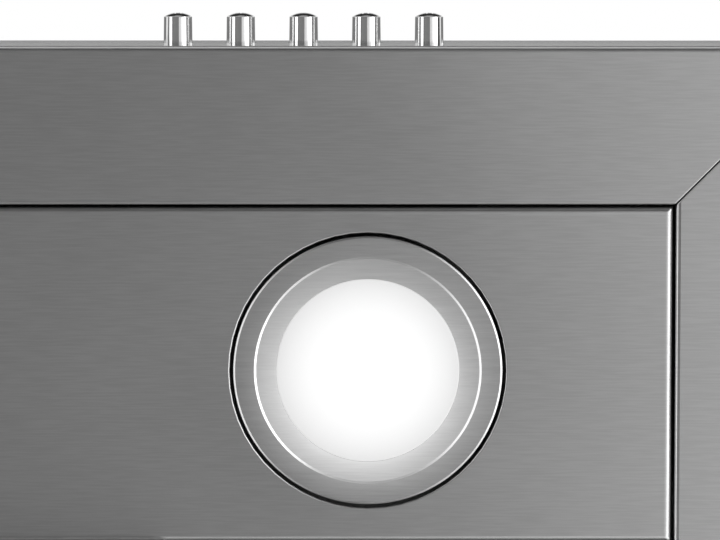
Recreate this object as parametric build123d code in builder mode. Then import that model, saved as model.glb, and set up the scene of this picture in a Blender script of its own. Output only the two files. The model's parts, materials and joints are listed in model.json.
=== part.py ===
"""T-shape wall range hood: a slim folded canopy under a two-part chimney.

Millimetres, +Z up. The wall is the plane y = 0, the front faces -Y and +X is to the right of someone
who stands in front of the hood. The origin is midway between the two wall screws of the hanging bracket.
"""
from build123d import *
import math
import os

os.makedirs("parts", exist_ok=True)

# Canopy
canopy_width = 760.0
canopy_depth = 500.0
canopy_height = 55.0
sheet = 1.0
bend = 1.0  # inner radius of a fold
strip_width = 41.0  # underside border
lip_height = 9.0  # up-turned inner edge of the border
top_return = 18.0  # border folded inwards under the top sheet
top_inset = 2.6  # the top sheet stands this far inside the outer faces
mitre_gap = 0.25
mount_height = 215.0  # wall screws above the underside

# Lamp panel and lamps
panel_gap = 1.05
panel_lip = 10.0
panel_front_margin = 6.55  # lamp hole to the panel's front edge
panel_back_margin = 9.25
lamp_from_side = 121.5
lamp_radius = 35.0
lamp_hole_gap = 1.1
lamp_rim = 11.2  # bezel and its dished inner ring, outside the lens
wing_reach = 27.0  # lamp's wings beyond its round body
lens_clearance = 0.15
lens_recess = 0.9
lens_thickness = 2.5
lamp_height = 18.0
driver_length = 120.0
driver_width = 38.0
driver_height = 22.0

# Push buttons
button_count = 5
button_pitch = 16.8
button_group_from_side = 138.4
button_height = 35.0  # axis above the underside
button_radius = 3.85
button_reach = 7.95
button_travel = 3.5
button_clearance = 0.5
stem_width = 3.2
stem_height = 4.6
stem_clearance = 0.4
switch_depth = 34.0
switch_height = 22.0
switch_setback = 10.0  # bracket plate behind the fascia's outer face

# Grease filters
filter_gap = 1.5
filter_thickness = 14.0
filter_flange = 12.0
baffle_least_pitch = 41.0
baffle_cover = 4.453125  # overlap of the two rows, seen from below
baffle_side_gap = 3.0  # frame to the outermost baffles' share of the width
baffle_lip = 7.0
baffle_sheet = 0.9
hook_length = 10.0
hook_width = 22.0
handle_width = 72.0
handle_drop = 14.0
handle_sheet = 2.0
handle_strip = 9.0

# Blower box, behind and inside the chimney
box_wall_gap = 9.0
box_flange = 6.0
box_rim = 8.0  # in-turned rim round the top
motor_room = 9.8  # motor's free end to the box's side
scroll_back_room = 3.3  # scroll's side plates to the box's back
scroll_front_room = 25.3
scroll_floor_gap = 1.3  # side plates above the canopy's top
hopper_height = 43.5

# Blower
wheel_radius = 66.0
blade_depth = 13.0
blade_count = 14
blade_lean = 6.0  # degrees between a blade's root and its tip
blade_bow = 0.6
blade_sheet = 0.9
wheel_width = 74.0
scroll_width = 88.0
scroll_wall = 1.2
plate_margin = 6.0  # side plates outside the spiral wall
cutoff_gap = 8.0  # wheel to the start of the spiral
spiral_step = 9.0  # growth of the spiral's radius in each quarter turn
cutoff_angle = 55.0
nose_radius = 4.0
outlet_rise = 105.0  # scroll outlet above the wheel's axis
inlet_rim = 16.0  # side plate's inlet inside the wheel's rim
motor_radius = 36.0
motor_length = 64.0
mount_length = 8.0
shaft_radius = 4.0

# Duct collar and damper
collar_radius = 74.5
collar_wall = 1.5
collar_height = 50.0
damper_height = 19.0  # damper pin above the box's top
pin_radius = 1.5
knuckle_size = 6.0
knuckle_clearance = 0.06
flap_clearance = 1.2

# Chimney
chimney_side_room = 12.0  # box's flange to the outside of the cover
chimney_front_room = 13.0
chimney_length = 430.0
chimney_overlap = 90.0
slide_gap = 1.0
chimney_return = 12.0
chimney_bend = 3.0

# Wall bracket
bracket_screw_spacing = 200.0
bracket_hole_radius = 3.5
bracket_sheet = 2.0
bracket_margin = 20.0  # screw to the end of the bracket
bracket_height = 60.0
hook_x = 85.0
hook_arm_z = 20.0
hook_plate_width = 24.0
hook_tab = 8.0
slot_side_gap = 2.0
slot_lift_room = 4.0  # lets the box be lifted over the hooks' tabs

# Levels and lines that follow from the sizes above
half_width = canopy_width / 2
underside = -mount_height
canopy_top = underside + canopy_height
front_y = -canopy_depth
outer_bend = bend + sheet
lamp_hole_radius = lamp_radius + lamp_hole_gap
lens_radius = lamp_radius - lamp_rim
panel_depth = 2 * lamp_hole_radius + panel_front_margin + panel_back_margin
panel_front_y = front_y + strip_width + panel_gap
panel_back_y = panel_front_y + panel_depth
lamp_x = half_width - lamp_from_side
lamp_y = panel_front_y + panel_front_margin + lamp_hole_radius
button_x = half_width - button_group_from_side
button_z = underside + button_height
panel_half_width = half_width - strip_width - panel_gap
filter_front_y = panel_back_y + filter_gap
filter_back_y = -strip_width - filter_gap
filter_depth = filter_back_y - filter_front_y
filter_width = (canopy_width - 2 * strip_width - 3 * filter_gap) / 2
filter_x = (filter_width + filter_gap) / 2

# Blower: the box takes its size from the scroll, the scroll from the wheel, and the chimney covers the box
start_radius = wheel_radius + cutoff_gap
half_step = spiral_step / 2
spiral_back = half_step + start_radius + spiral_step
spiral_bottom = half_step + start_radius + 2 * spiral_step
outlet_front = half_step + start_radius + 3 * spiral_step
plate_edge = scroll_wall + plate_margin
plate_length = spiral_back + outlet_front + 2 * plate_edge
inlet_radius = wheel_radius - inlet_rim
axis_height = scroll_floor_gap + plate_edge + spiral_bottom
scroll_face = scroll_width / 2 + scroll_wall  # outer faces of the side plates
box_width = 2 * (scroll_face + mount_length + motor_length + motor_room + sheet)
box_depth = plate_length + scroll_back_room + scroll_front_room + 2 * sheet
box_height = axis_height + outlet_rise + hopper_height + collar_wall
box_back_y = -box_wall_gap
box_front_y = box_back_y - box_depth
box_centre_y = (box_back_y + box_front_y) / 2
box_top = canopy_top + box_height
axis_y = box_back_y - sheet - scroll_back_room - plate_edge - spiral_back
axis_z = canopy_top + axis_height
chimney_width = box_width + 2 * (box_flange + chimney_side_room)
chimney_depth = box_wall_gap + box_depth + box_flange + chimney_front_room


def write_piece(piece, label):
    """Names a finished piece and writes its own file."""
    piece.part.label = label
    export_step(piece.part, f"parts/{label}.step")


# Canopy: four folded borders, mitred at the corners, and a top sheet laid over their returns


def canopy_border(middle, inward, length):
    """Fascia, underside strip with its up-turned lip, and top return, folded from one sheet."""
    along = inward.cross(Vector(0, 0, 1))
    wall_height = canopy_height - sheet
    with BuildPart() as border:
        with BuildSketch(Plane(origin=middle, x_dir=inward, z_dir=along)) as section:
            Rectangle(strip_width, wall_height, align=(Align.MIN, Align.MIN))
            bottom_corners = section.vertices().group_by(Axis.Y)[0]
            fillet(bottom_corners, outer_bend)
            with Locations((sheet, sheet)):
                inner_width = strip_width - 2 * sheet
                inner_height = wall_height - 2 * sheet
                Rectangle(inner_width, inner_height, align=(Align.MIN, Align.MIN), mode=Mode.SUBTRACT)
            with Locations((strip_width, lip_height)):
                opening_width = strip_width - top_return
                Rectangle(opening_width, wall_height, align=(Align.MAX, Align.MIN), mode=Mode.SUBTRACT)
        extrude(amount=length / 2, both=True)
        for end in (1, -1):
            corner = middle + along * (end * length / 2)
            outward = (along * end + inward).normalized()
            seam_plane = Plane(origin=corner - outward * (mitre_gap / 2), z_dir=outward)
            split(bisect_by=seam_plane, keep=Keep.BOTTOM)
    return border


button_hole = button_radius + button_clearance
fascia_plane = Plane(origin=(button_x, front_y, button_z), x_dir=(1, 0, 0), z_dir=(0, -1, 0))
front_border = canopy_border(Vector(0, front_y, underside), Vector(0, 1, 0), canopy_width)
with BuildPart() as canopy_front:
    add(front_border.part)
    with BuildSketch(fascia_plane):
        with GridLocations(button_pitch, 0, button_count, 1):
            Circle(button_hole)
    extrude(amount=-2 * sheet, mode=Mode.SUBTRACT)
write_piece(canopy_front, "canopy_front")

side_middle_y = front_y / 2
canopy_left = canopy_border(Vector(-half_width, side_middle_y, underside), Vector(1, 0, 0), canopy_depth)
write_piece(canopy_left, "canopy_left")
canopy_right = canopy_border(Vector(half_width, side_middle_y, underside), Vector(-1, 0, 0), canopy_depth)
write_piece(canopy_right, "canopy_right")

canopy_back = canopy_border(Vector(0, 0, underside), Vector(0, -1, 0), canopy_width)
write_piece(canopy_back, "canopy_back")

blower_opening_margin = 6.0
with BuildPart() as canopy_top_sheet:
    with BuildSketch(Plane.XY.offset(canopy_top - sheet)):
        with Locations((0, front_y / 2)):
            Rectangle(canopy_width - 2 * top_inset, canopy_depth - 2 * top_inset)
        with Locations((0, box_centre_y)):
            opening_width = box_width - 2 * blower_opening_margin
            opening_depth = box_depth - 2 * blower_opening_margin
            Rectangle(opening_width, opening_depth, mode=Mode.SUBTRACT)
    extrude(amount=sheet)
write_piece(canopy_top_sheet, "canopy_top")

# Lamp panel: a tray with up-turned edges and two lamp holes

panel_middle_y = (panel_front_y + panel_back_y) / 2
with BuildPart() as lamp_panel:
    with BuildSketch(Plane.XY.offset(underside)):
        with Locations((0, panel_middle_y)):
            Rectangle(2 * panel_half_width, panel_depth)
    extrude(amount=panel_lip)
    fillet(lamp_panel.faces().sort_by(Axis.Z)[0].edges(), outer_bend)
    with BuildSketch(Plane.XY.offset(underside + sheet)):
        with Locations((0, panel_middle_y)):
            Rectangle(2 * (panel_half_width - sheet), panel_depth - 2 * sheet)
    extrude(amount=panel_lip, mode=Mode.SUBTRACT)
    with BuildSketch(Plane.XY.offset(underside)):
        with Locations((lamp_x, lamp_y), (-lamp_x, lamp_y)):
            Circle(lamp_hole_radius)
    extrude(amount=sheet, mode=Mode.SUBTRACT)
write_piece(lamp_panel, "lamp_panel")

# Lamps: a winged round body whose rim is the bezel, and a lens let into it; the light board is sealed inside

lens_seat = lens_recess + lens_thickness
wing_width = 16.0
wing_span = 2 * (lamp_radius + wing_reach)
wing_thickness = 1.5


def make_lamp_body(x):
    """Round body with a lens seat in its front and two wings that lie on the panel."""
    with BuildPart() as body:
        with BuildSketch(Plane((x, lamp_y, underside))):
            Circle(lamp_radius)
        extrude(amount=lamp_height)
        with BuildSketch(Plane((x, lamp_y, underside + sheet))):
            Rectangle(wing_span, wing_width)
        extrude(amount=wing_thickness)
        with BuildSketch(Plane((x, lamp_y, underside))):
            Circle(lens_radius + lens_clearance)
        extrude(amount=lens_seat, mode=Mode.SUBTRACT)
    return body


def make_lamp_lens(x):
    with BuildPart() as lens:
        with BuildSketch(Plane((x, lamp_y, underside + lens_recess))):
            Circle(lens_radius)
        extrude(amount=lens_thickness)
    return lens


for side, side_name in ((-1, "left"), (1, "right")):
    write_piece(make_lamp_body(side * lamp_x), f"lamp_body_{side_name}")
    write_piece(make_lamp_lens(side * lamp_x), f"lamp_lens_{side_name}")

driver_centre = (0, panel_middle_y)
driver_foot_length = 14.0
driver_foot_width = 18.0
driver_foot_sheet = 3.0
driver_foot_overlap = 2.0
driver_foot_spacing = driver_length + driver_foot_length - 2 * driver_foot_overlap
with BuildPart() as lamp_driver:
    with BuildSketch(Plane.XY.offset(canopy_top - sheet)):
        with Locations(driver_centre):
            Rectangle(driver_length, driver_width)
    extrude(amount=-driver_height)
    with BuildSketch(Plane.XY.offset(canopy_top - sheet)):
        with Locations(driver_centre):
            with GridLocations(driver_foot_spacing, 0, 2, 1):
                Rectangle(driver_foot_length, driver_foot_width)
    extrude(amount=-driver_foot_sheet)
write_piece(lamp_driver, "lamp_driver")

# Push buttons: five chromed caps that slide through holes in the fascia


def button_positions():
    return [button_x + (index - (button_count - 1) / 2) * button_pitch for index in range(button_count)]


cap_margin = 1.0
cap_inside = button_travel + cap_margin  # cap length behind the fascia's outer face
stem_reach = 8.0  # stem beyond the bracket's front
stem_inside = switch_setback + stem_reach


def make_button(x):
    """Round cap, and the flat stem that reaches into the switch."""
    axis_plane = Plane(origin=(x, front_y, button_z), x_dir=(1, 0, 0), z_dir=(0, -1, 0))
    with BuildPart() as button:
        with BuildSketch(axis_plane.offset(button_reach)):
            Circle(button_radius)
        extrude(amount=-(button_reach + cap_inside))
        with BuildSketch(axis_plane.offset(-cap_inside)):
            Rectangle(stem_width, stem_height)
        extrude(amount=-(stem_inside - cap_inside))
    return button


for index, x in enumerate(button_positions()):
    write_piece(make_button(x), f"button_{index + 1}")

switch_end = 9.0
switch_width = (button_count - 1) * button_pitch + 2 * button_radius + 2 * switch_end
bracket_plate = 1.2
bracket_side_room = 10.0
bracket_leg = switch_width + 2 * bracket_side_room  # between the outer faces of the bracket's legs
bracket_foot = 12.0
stem_slot = (stem_width + 2 * stem_clearance, stem_height + 2 * stem_clearance)
with BuildPart() as switch_bracket:
    with BuildSketch(fascia_plane.offset(-switch_setback)):
        Rectangle(bracket_leg, switch_height)
        Rectangle((button_count - 1) * button_pitch + stem_slot[0], stem_slot[1], mode=Mode.SUBTRACT)
    extrude(amount=-bracket_plate)
    with BuildSketch(fascia_plane.offset(-sheet)):
        with GridLocations(bracket_leg - bracket_plate, 0, 2, 1):
            Rectangle(bracket_plate, switch_height)
    extrude(amount=-(switch_setback - sheet))
    with BuildSketch(fascia_plane.offset(-sheet)):
        with GridLocations(bracket_leg + bracket_foot - 2 * bracket_plate, 0, 2, 1):
            Rectangle(bracket_foot, switch_height)
    extrude(amount=-bracket_plate)
write_piece(switch_bracket, "switch_bracket")

switch_front = switch_setback + bracket_plate
stem_end_gap = 3.7
stem_room = stem_reach - bracket_plate + button_travel + stem_end_gap
block_chamfer = 1.5
with BuildPart() as switch_block:
    with BuildSketch(fascia_plane.offset(-switch_front)):
        Rectangle(switch_width, switch_height)
    extrude(amount=-switch_depth)
    chamfer(switch_block.edges().filter_by(Axis.Y), block_chamfer)
    with BuildSketch(fascia_plane.offset(-switch_front)):
        with GridLocations(button_pitch, 0, button_count, 1):
            Rectangle(*stem_slot)
    extrude(amount=-stem_room, mode=Mode.SUBTRACT)
write_piece(switch_block, "switch_block")

# Grease filters: a channel frame that holds two staggered rows of baffles

hook_clearance = 0.4
hook_rise = math.hypot(lip_height, filter_gap + sheet) + hook_clearance
hook_sheet = 1.2
frame_inner_depth = filter_depth - 2 * sheet
baffle_share = filter_width - 2 * sheet - 2 * baffle_side_gap
baffle_count = int(baffle_share // baffle_least_pitch)
baffle_pitch = baffle_share / baffle_count
baffle_width = baffle_pitch / 2 + baffle_cover
baffle_end_gap = 0.5
hook_from_end = 67.35


def make_filter_frame(x):
    """C-section channel round all four sides, with two hooks that lie over the back border's lip."""
    with BuildPart() as frame:
        with BuildSketch(Plane.XY.offset(underside)):
            with Locations((x, (filter_front_y + filter_back_y) / 2)):
                Rectangle(filter_width, filter_depth)
        extrude(amount=filter_thickness)
        with BuildSketch(Plane.XY.offset(underside + sheet)):
            with Locations((x, (filter_front_y + filter_back_y) / 2)):
                Rectangle(filter_width - 2 * sheet, filter_depth - 2 * sheet)
        extrude(amount=filter_thickness - 2 * sheet, mode=Mode.SUBTRACT)
        with BuildSketch(Plane.XY.offset(underside)):
            with Locations((x, (filter_front_y + filter_back_y) / 2)):
                Rectangle(filter_width - 2 * filter_flange, filter_depth - 2 * filter_flange)
        extrude(amount=filter_thickness, mode=Mode.SUBTRACT)
        with BuildSketch(Plane.XY.offset(underside + hook_rise)):
            with Locations((x, filter_back_y + hook_length / 2 - sheet / 2)):
                with GridLocations(filter_width - 2 * hook_from_end, 0, 2, 1):
                    Rectangle(hook_width, hook_length + sheet)
        extrude(amount=hook_sheet)
    return frame


def make_baffles(x, upper):
    """One row of folded channels, running from the front of the frame to its back."""
    count = baffle_count - 1 if upper else baffle_count
    web_height = underside + (filter_thickness - sheet if upper else sheet)
    lip_direction = -1 if upper else 1
    half = baffle_width / 2
    section_y = filter_front_y + sheet + baffle_end_gap
    with BuildPart() as row:
        with BuildSketch(Plane(origin=(x, section_y, web_height), x_dir=(1, 0, 0), z_dir=(0, -1, 0))):
            with GridLocations(baffle_pitch, 0, count, 1):
                Rectangle(baffle_width, baffle_sheet, align=(Align.CENTER, Align.MAX if upper else Align.MIN))
                for edge in (-1, 1):
                    with Locations((edge * (half - baffle_sheet / 2), lip_direction * baffle_lip / 2)):
                        Rectangle(baffle_sheet, baffle_lip)
        extrude(amount=-(frame_inner_depth - 2 * baffle_end_gap))
    return row


def make_handle(x):
    """Bent strip under the front channel, for pulling the filter down."""
    handle_plane = Plane(
        origin=(x, filter_front_y + filter_flange / 2, underside),
        x_dir=(1, 0, 0),
        z_dir=(0, -1, 0),
    )
    with BuildPart() as handle:
        with BuildSketch(handle_plane) as section:
            Rectangle(handle_width, handle_drop, align=(Align.CENTER, Align.MAX))
            chamfer(section.vertices().group_by(Axis.Y)[0], 1.5 * handle_sheet)
            inner_width = handle_width - 2 * handle_sheet
            inner_drop = handle_drop - handle_sheet
            Rectangle(inner_width, inner_drop, align=(Align.CENTER, Align.MAX), mode=Mode.SUBTRACT)
        extrude(amount=handle_strip / 2, both=True)
    return handle


for side, side_name in ((-1, "left"), (1, "right")):
    x = side * filter_x
    write_piece(make_filter_frame(x), f"filter_frame_{side_name}")
    write_piece(make_baffles(x, upper=False), f"filter_baffles_lower_{side_name}")
    write_piece(make_baffles(x, upper=True), f"filter_baffles_upper_{side_name}")
    write_piece(make_handle(x), f"filter_handle_{side_name}")

magnet_width = 28.0
magnet_height = 7.0
magnet_reach = 8.0
magnet_gap = 0.3
magnet_foot = 5.0
with BuildPart() as filter_magnets:
    with BuildSketch(Plane.XY.offset(underside + filter_thickness + magnet_gap)):
        with Locations((0, panel_back_y - sheet)):
            with Locations((filter_x, 0), (-filter_x, 0)):
                Rectangle(magnet_width, filter_gap + sheet + magnet_reach, align=(Align.CENTER, Align.MIN))
    extrude(amount=magnet_height)
    with BuildSketch(Plane.XY.offset(underside + panel_lip / 2)):
        with Locations((0, panel_back_y - sheet)):
            with Locations((filter_x, 0), (-filter_x, 0)):
                Rectangle(magnet_width, magnet_foot, align=(Align.CENTER, Align.MAX))
    extrude(amount=filter_thickness + magnet_gap + magnet_height - panel_lip / 2)
write_piece(filter_magnets, "filter_magnets")

# Blower box: four walls with a flange round the foot, a rim round the top and hanging slots in the back

slot_width = hook_plate_width + 2 * slot_side_gap
slot_drop = bracket_sheet + hook_tab + slot_lift_room
box_wall_top = box_top - collar_wall
with BuildPart() as blower_box:
    with BuildSketch(Plane.XY.offset(canopy_top)):
        with Locations((0, box_centre_y)):
            Rectangle(box_width, box_depth)
    extrude(amount=box_wall_top - canopy_top)
    offset(amount=-sheet, openings=blower_box.faces().sort_by(Axis.Z)[0])
    with BuildSketch(Plane.XY.offset(box_wall_top)):
        with Locations((0, box_centre_y)):
            Rectangle(box_width - 2 * box_rim, box_depth - 2 * box_rim)
    extrude(amount=-sheet, mode=Mode.SUBTRACT)
    with BuildSketch(Plane.XY.offset(canopy_top)):
        with Locations((0, box_centre_y)):
            Rectangle(box_width + 2 * box_flange, box_depth + 2 * box_flange)
            Rectangle(box_width - 2 * sheet, box_depth - 2 * sheet, mode=Mode.SUBTRACT)
    extrude(amount=sheet)
    with BuildSketch(Plane(origin=(0, box_back_y, hook_arm_z), x_dir=(1, 0, 0), z_dir=(0, -1, 0))):
        with Locations((hook_x, 0), (-hook_x, 0)):
            Rectangle(slot_width, slot_drop, align=(Align.CENTER, Align.MAX))
    extrude(amount=sheet, mode=Mode.SUBTRACT)
write_piece(blower_box, "blower_box")

# Scroll: the spiral is four arcs, each a quarter turn about the next corner of a small square


def scroll_plane(x):
    """Side view of the blower: local x points to the front of the hood, local y points up."""
    return Plane(origin=(x, axis_y, axis_z), x_dir=(0, -1, 0), z_dir=(-1, 0, 0))


def draw_volute():
    """Outlet's inner wall, rounded cut-off, spiral, and outlet's outer wall, as one open path."""
    cutoff = math.radians(cutoff_angle)
    first = CenterArc((-half_step, half_step), start_radius, cutoff_angle, 90 - cutoff_angle)
    CenterArc((-half_step, -half_step), start_radius + spiral_step, 90, 90)
    CenterArc((half_step, -half_step), start_radius + 2 * spiral_step, 180, 90)
    last = CenterArc((half_step, half_step), start_radius + 3 * spiral_step, 270, 90)
    Line(last @ 1, (outlet_front, outlet_rise))
    heading = (math.sin(cutoff), -math.cos(cutoff))
    nose = JernArc(start=first @ 0, tangent=heading, radius=nose_radius, arc_size=170)
    rise_direction = nose % 1
    rise = (outlet_rise - (nose @ 1).Y) / rise_direction.Y
    return PolarLine(nose @ 1, rise, direction=rise_direction)


with BuildLine(Plane.XY) as volute_probe:
    outlet_inner_wall = draw_volute()
outlet_back = (outlet_inner_wall @ 1).X
outlet_middle = (outlet_front + outlet_back) / 2
outlet_length = outlet_front - outlet_back

with BuildSketch() as air_space:
    with BuildLine():
        draw_volute()
        Line((outlet_front, outlet_rise), (outlet_back, outlet_rise))
    make_face()

with BuildPart() as scroll_wrapper:
    with BuildSketch(scroll_plane(scroll_width / 2)):
        add(air_space.sketch)
        offset(amount=scroll_wall)
        with Locations((outlet_middle, outlet_rise)):
            above_outlet = (Align.CENTER, Align.MIN)
            Rectangle(2 * outlet_length, 4 * scroll_wall, align=above_outlet, mode=Mode.SUBTRACT)
        add(air_space.sketch, mode=Mode.SUBTRACT)
    extrude(amount=scroll_width)
write_piece(scroll_wrapper, "scroll_wrapper")

# Side plates: sheets that close the scroll, one with the inlet and one with the hole for the shaft
shaft_opening = 16.0
plate_height = spiral_bottom + plate_edge + outlet_rise
for side_name, face_x, hole_radius in (
    ("left", -scroll_width / 2, shaft_opening),
    ("right", scroll_width / 2 + scroll_wall, inlet_radius),
):
    with BuildPart() as side_plate:
        with BuildSketch(scroll_plane(face_x)):
            with Locations((outlet_front + plate_edge, outlet_rise)):
                Rectangle(plate_length, plate_height, align=(Align.MAX, Align.MAX))
            Circle(hole_radius, mode=Mode.SUBTRACT)
        extrude(amount=scroll_wall)
    write_piece(side_plate, f"scroll_plate_{side_name}")

# Hopper of flat sheet between the scroll's outlet and the round hole above it
hopper_wall = 1.0
hopper_flange = 5.0
hopper_clearance = 2.0  # square top outside the round hole
scroll_top = axis_z + outlet_rise
outlet_plane = Plane((0, axis_y - outlet_middle, scroll_top))
hole_plane = Plane((0, box_centre_y, box_wall_top))
outlet_x = scroll_width + 2 * scroll_wall
outlet_y = outlet_length + 2 * scroll_wall
hopper_top = 2 * (collar_radius + hopper_clearance)
hopper_shift = box_centre_y - (axis_y - outlet_middle)


def trapezium(bottom, top, shift):
    """Side view of the hopper with its bottom edge centred on the local origin."""
    Polygon(
        (-bottom / 2, 0),
        (bottom / 2, 0),
        (shift + top / 2, hopper_height),
        (shift - top / 2, hopper_height),
        align=None,
    )


def make_hopper_block(inset):
    """Solid frustum between the outlet and the hole above it, its side and front views crossed."""
    with BuildPart() as block:
        with BuildSketch(Plane(outlet_plane.origin, x_dir=(1, 0, 0), z_dir=(0, -1, 0))):
            trapezium(outlet_x - 2 * inset, hopper_top - 2 * inset, 0)
        extrude(amount=box_depth, both=True)
        with BuildSketch(Plane(outlet_plane.origin, x_dir=(0, 1, 0), z_dir=(1, 0, 0))):
            trapezium(outlet_y - 2 * inset, hopper_top - 2 * inset, hopper_shift)
        extrude(amount=box_width, both=True, mode=Mode.INTERSECT)
    return block.part


hopper_outside = make_hopper_block(0)
hopper_inside = make_hopper_block(hopper_wall)
with BuildPart() as outlet_hopper:
    add(hopper_outside)
    add(hopper_inside, mode=Mode.SUBTRACT)
    with BuildSketch(outlet_plane):
        Rectangle(outlet_x + 2 * hopper_flange, outlet_y + 2 * hopper_flange)
        Rectangle(outlet_x - 2 * hopper_wall, outlet_y - 2 * hopper_wall, mode=Mode.SUBTRACT)
    extrude(amount=sheet)
    with BuildSketch(hole_plane):
        Rectangle(hopper_top + 2 * hopper_flange, hopper_top + 2 * hopper_flange)
        Rectangle(hopper_top - 2 * hopper_wall, hopper_top - 2 * hopper_wall, mode=Mode.SUBTRACT)
    extrude(amount=-sheet)
write_piece(outlet_hopper, "outlet_hopper")

# Wheel: curved blades between an open ring at the inlet and a disc with a hub at the motor

hub_radius = 11.0
hub_length = 22.0
hub_clearance = 0.02
ring_thickness = 3.0
disc_thickness = 2.5
blade_root = wheel_radius - blade_depth
blade_inset = 0.5  # blade tips inside the rim
blade_tip = wheel_radius - blade_inset
with BuildSketch() as blade:
    with BuildLine():
        tip_angle = math.radians(blade_lean)
        root = Vector(blade_root, 0)
        tip = Vector(blade_tip * math.cos(tip_angle), blade_tip * math.sin(tip_angle))
        across = Vector(blade_sheet * math.sin(tip_angle), -blade_sheet * math.cos(tip_angle))
        SagittaArc(root, tip, -blade_bow)
        Line(tip, tip + across)
        SagittaArc(tip + across, root + across, blade_bow)
        Line(root + across, root)
    make_face()

with BuildPart() as impeller:
    with BuildSketch(scroll_plane(wheel_width / 2)):
        with PolarLocations(0, blade_count):
            add(blade.sketch)
    extrude(amount=wheel_width)
    with BuildSketch(scroll_plane(wheel_width / 2)):
        Circle(wheel_radius)
        Circle(blade_root - 0.5, mode=Mode.SUBTRACT)
    extrude(amount=ring_thickness)
    with BuildSketch(scroll_plane(-wheel_width / 2)):
        Circle(wheel_radius)
    extrude(amount=-disc_thickness)
    with BuildSketch(scroll_plane(-wheel_width / 2)):
        Circle(hub_radius)
    extrude(amount=-hub_length)
    with BuildSketch(scroll_plane(-wheel_width / 2)):
        Circle(shaft_radius + hub_clearance)
    extrude(amount=-hub_length, mode=Mode.SUBTRACT)
write_piece(impeller, "impeller")

# Motor with a square core, on four rubber mounts outside the scroll
mount_size = 9.0
mount_spacing = 2 * motor_radius - 2 * mount_size
shaft_clearance = 0.05
shaft_in_motor = 40.0
core_corner = 14.0
scroll_left_face = -scroll_face
motor_face = scroll_left_face - mount_length
with BuildPart() as motor:
    with BuildSketch(scroll_plane(motor_face)):
        Rectangle(2 * motor_radius, 2 * motor_radius)
    extrude(amount=motor_length)
    chamfer(motor.edges().filter_by(Axis.X), core_corner / 2)
    with BuildSketch(scroll_plane(motor_face)):
        Circle(shaft_radius + shaft_clearance)
    extrude(amount=shaft_in_motor, mode=Mode.SUBTRACT)
write_piece(motor, "motor")

with BuildPart() as motor_mounts:
    with BuildSketch(scroll_plane(scroll_left_face)):
        with GridLocations(mount_spacing, mount_spacing, 2, 2):
            Rectangle(mount_size, mount_size)
    extrude(amount=mount_length)
write_piece(motor_mounts, "motor_mounts")

shaft_past_hub = 3.0
shaft_end_gap = 1.0
shaft_end = -wheel_width / 2 + hub_length + shaft_past_hub
with BuildPart() as motor_shaft:
    with BuildSketch(scroll_plane(shaft_end)):
        Circle(shaft_radius)
    extrude(amount=shaft_end - motor_face + shaft_in_motor - shaft_end_gap)
write_piece(motor_shaft, "motor_shaft")

capacitor_length = 48.0
capacitor_width = 34.0
capacitor_thickness = 24.0
tab_spacing = 12.0
tab_width = 6.3
tab_sheet = 0.8
tab_length = 8.0
capacitor_height = 110.0  # centre above the canopy's top
box_inner_x = box_width / 2 - sheet
capacitor_base = Plane(
    origin=(box_inner_x, box_centre_y, canopy_top + capacitor_height),
    x_dir=(0, 1, 0),
    z_dir=(-1, 0, 0),
)
with BuildPart() as capacitor:
    with BuildSketch(capacitor_base):
        Rectangle(capacitor_length, capacitor_width)
    extrude(amount=capacitor_thickness)
    with BuildSketch(capacitor_base.offset(capacitor_thickness)):
        with GridLocations(tab_spacing, 0, 2, 1):
            Rectangle(tab_sheet, tab_width)
    extrude(amount=tab_length)
write_piece(capacitor, "capacitor")

# Duct collar on the lid of the blower box, with two half-round damper flaps that fold up about one pin

damper_z = box_top + damper_height
collar_bore = collar_radius - collar_wall
stop_reach = 3.0
stop_width = 8.0
stop_gap = 0.3
flap_sheet = 1.0
with BuildPart() as duct_collar:
    with BuildSketch(Plane((0, box_centre_y, box_wall_top))):
        Rectangle(box_width, box_depth)
    extrude(amount=collar_wall)
    with BuildSketch(Plane((0, box_centre_y, box_top))):
        Circle(collar_radius)
    extrude(amount=collar_height)
    with BuildSketch(Plane((0, box_centre_y, box_wall_top))):
        Circle(collar_bore)
    extrude(amount=collar_wall + collar_height, mode=Mode.SUBTRACT)
    with BuildSketch(Plane((0, box_centre_y, damper_z - flap_sheet / 2 - stop_gap))):
        for angle in (90, 270):
            with PolarLocations(collar_bore - stop_reach, 1, start_angle=angle):
                Rectangle(stop_reach + collar_wall / 2, stop_width, align=(Align.MIN, Align.CENTER))
    extrude(amount=-collar_wall)
    with Locations(Plane(origin=(0, box_centre_y, damper_z), z_dir=(1, 0, 0))):
        Cylinder(pin_radius, 4 * collar_radius, mode=Mode.SUBTRACT)
write_piece(duct_collar, "duct_collar")

pin_end_gap = 0.2  # pin's ends inside the collar's outer face
with BuildPart() as damper_pin:
    with Locations(Plane(origin=(0, box_centre_y, damper_z), z_dir=(1, 0, 0))):
        Cylinder(pin_radius, 2 * (collar_radius - pin_end_gap))
write_piece(damper_pin, "damper_pin")

knuckle_length = 34.0
flap_radius = collar_bore - flap_clearance
knuckle_gap = 0.4
flap_edge = math.hypot(knuckle_size / 2, knuckle_size / 2) + knuckle_gap


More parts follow.
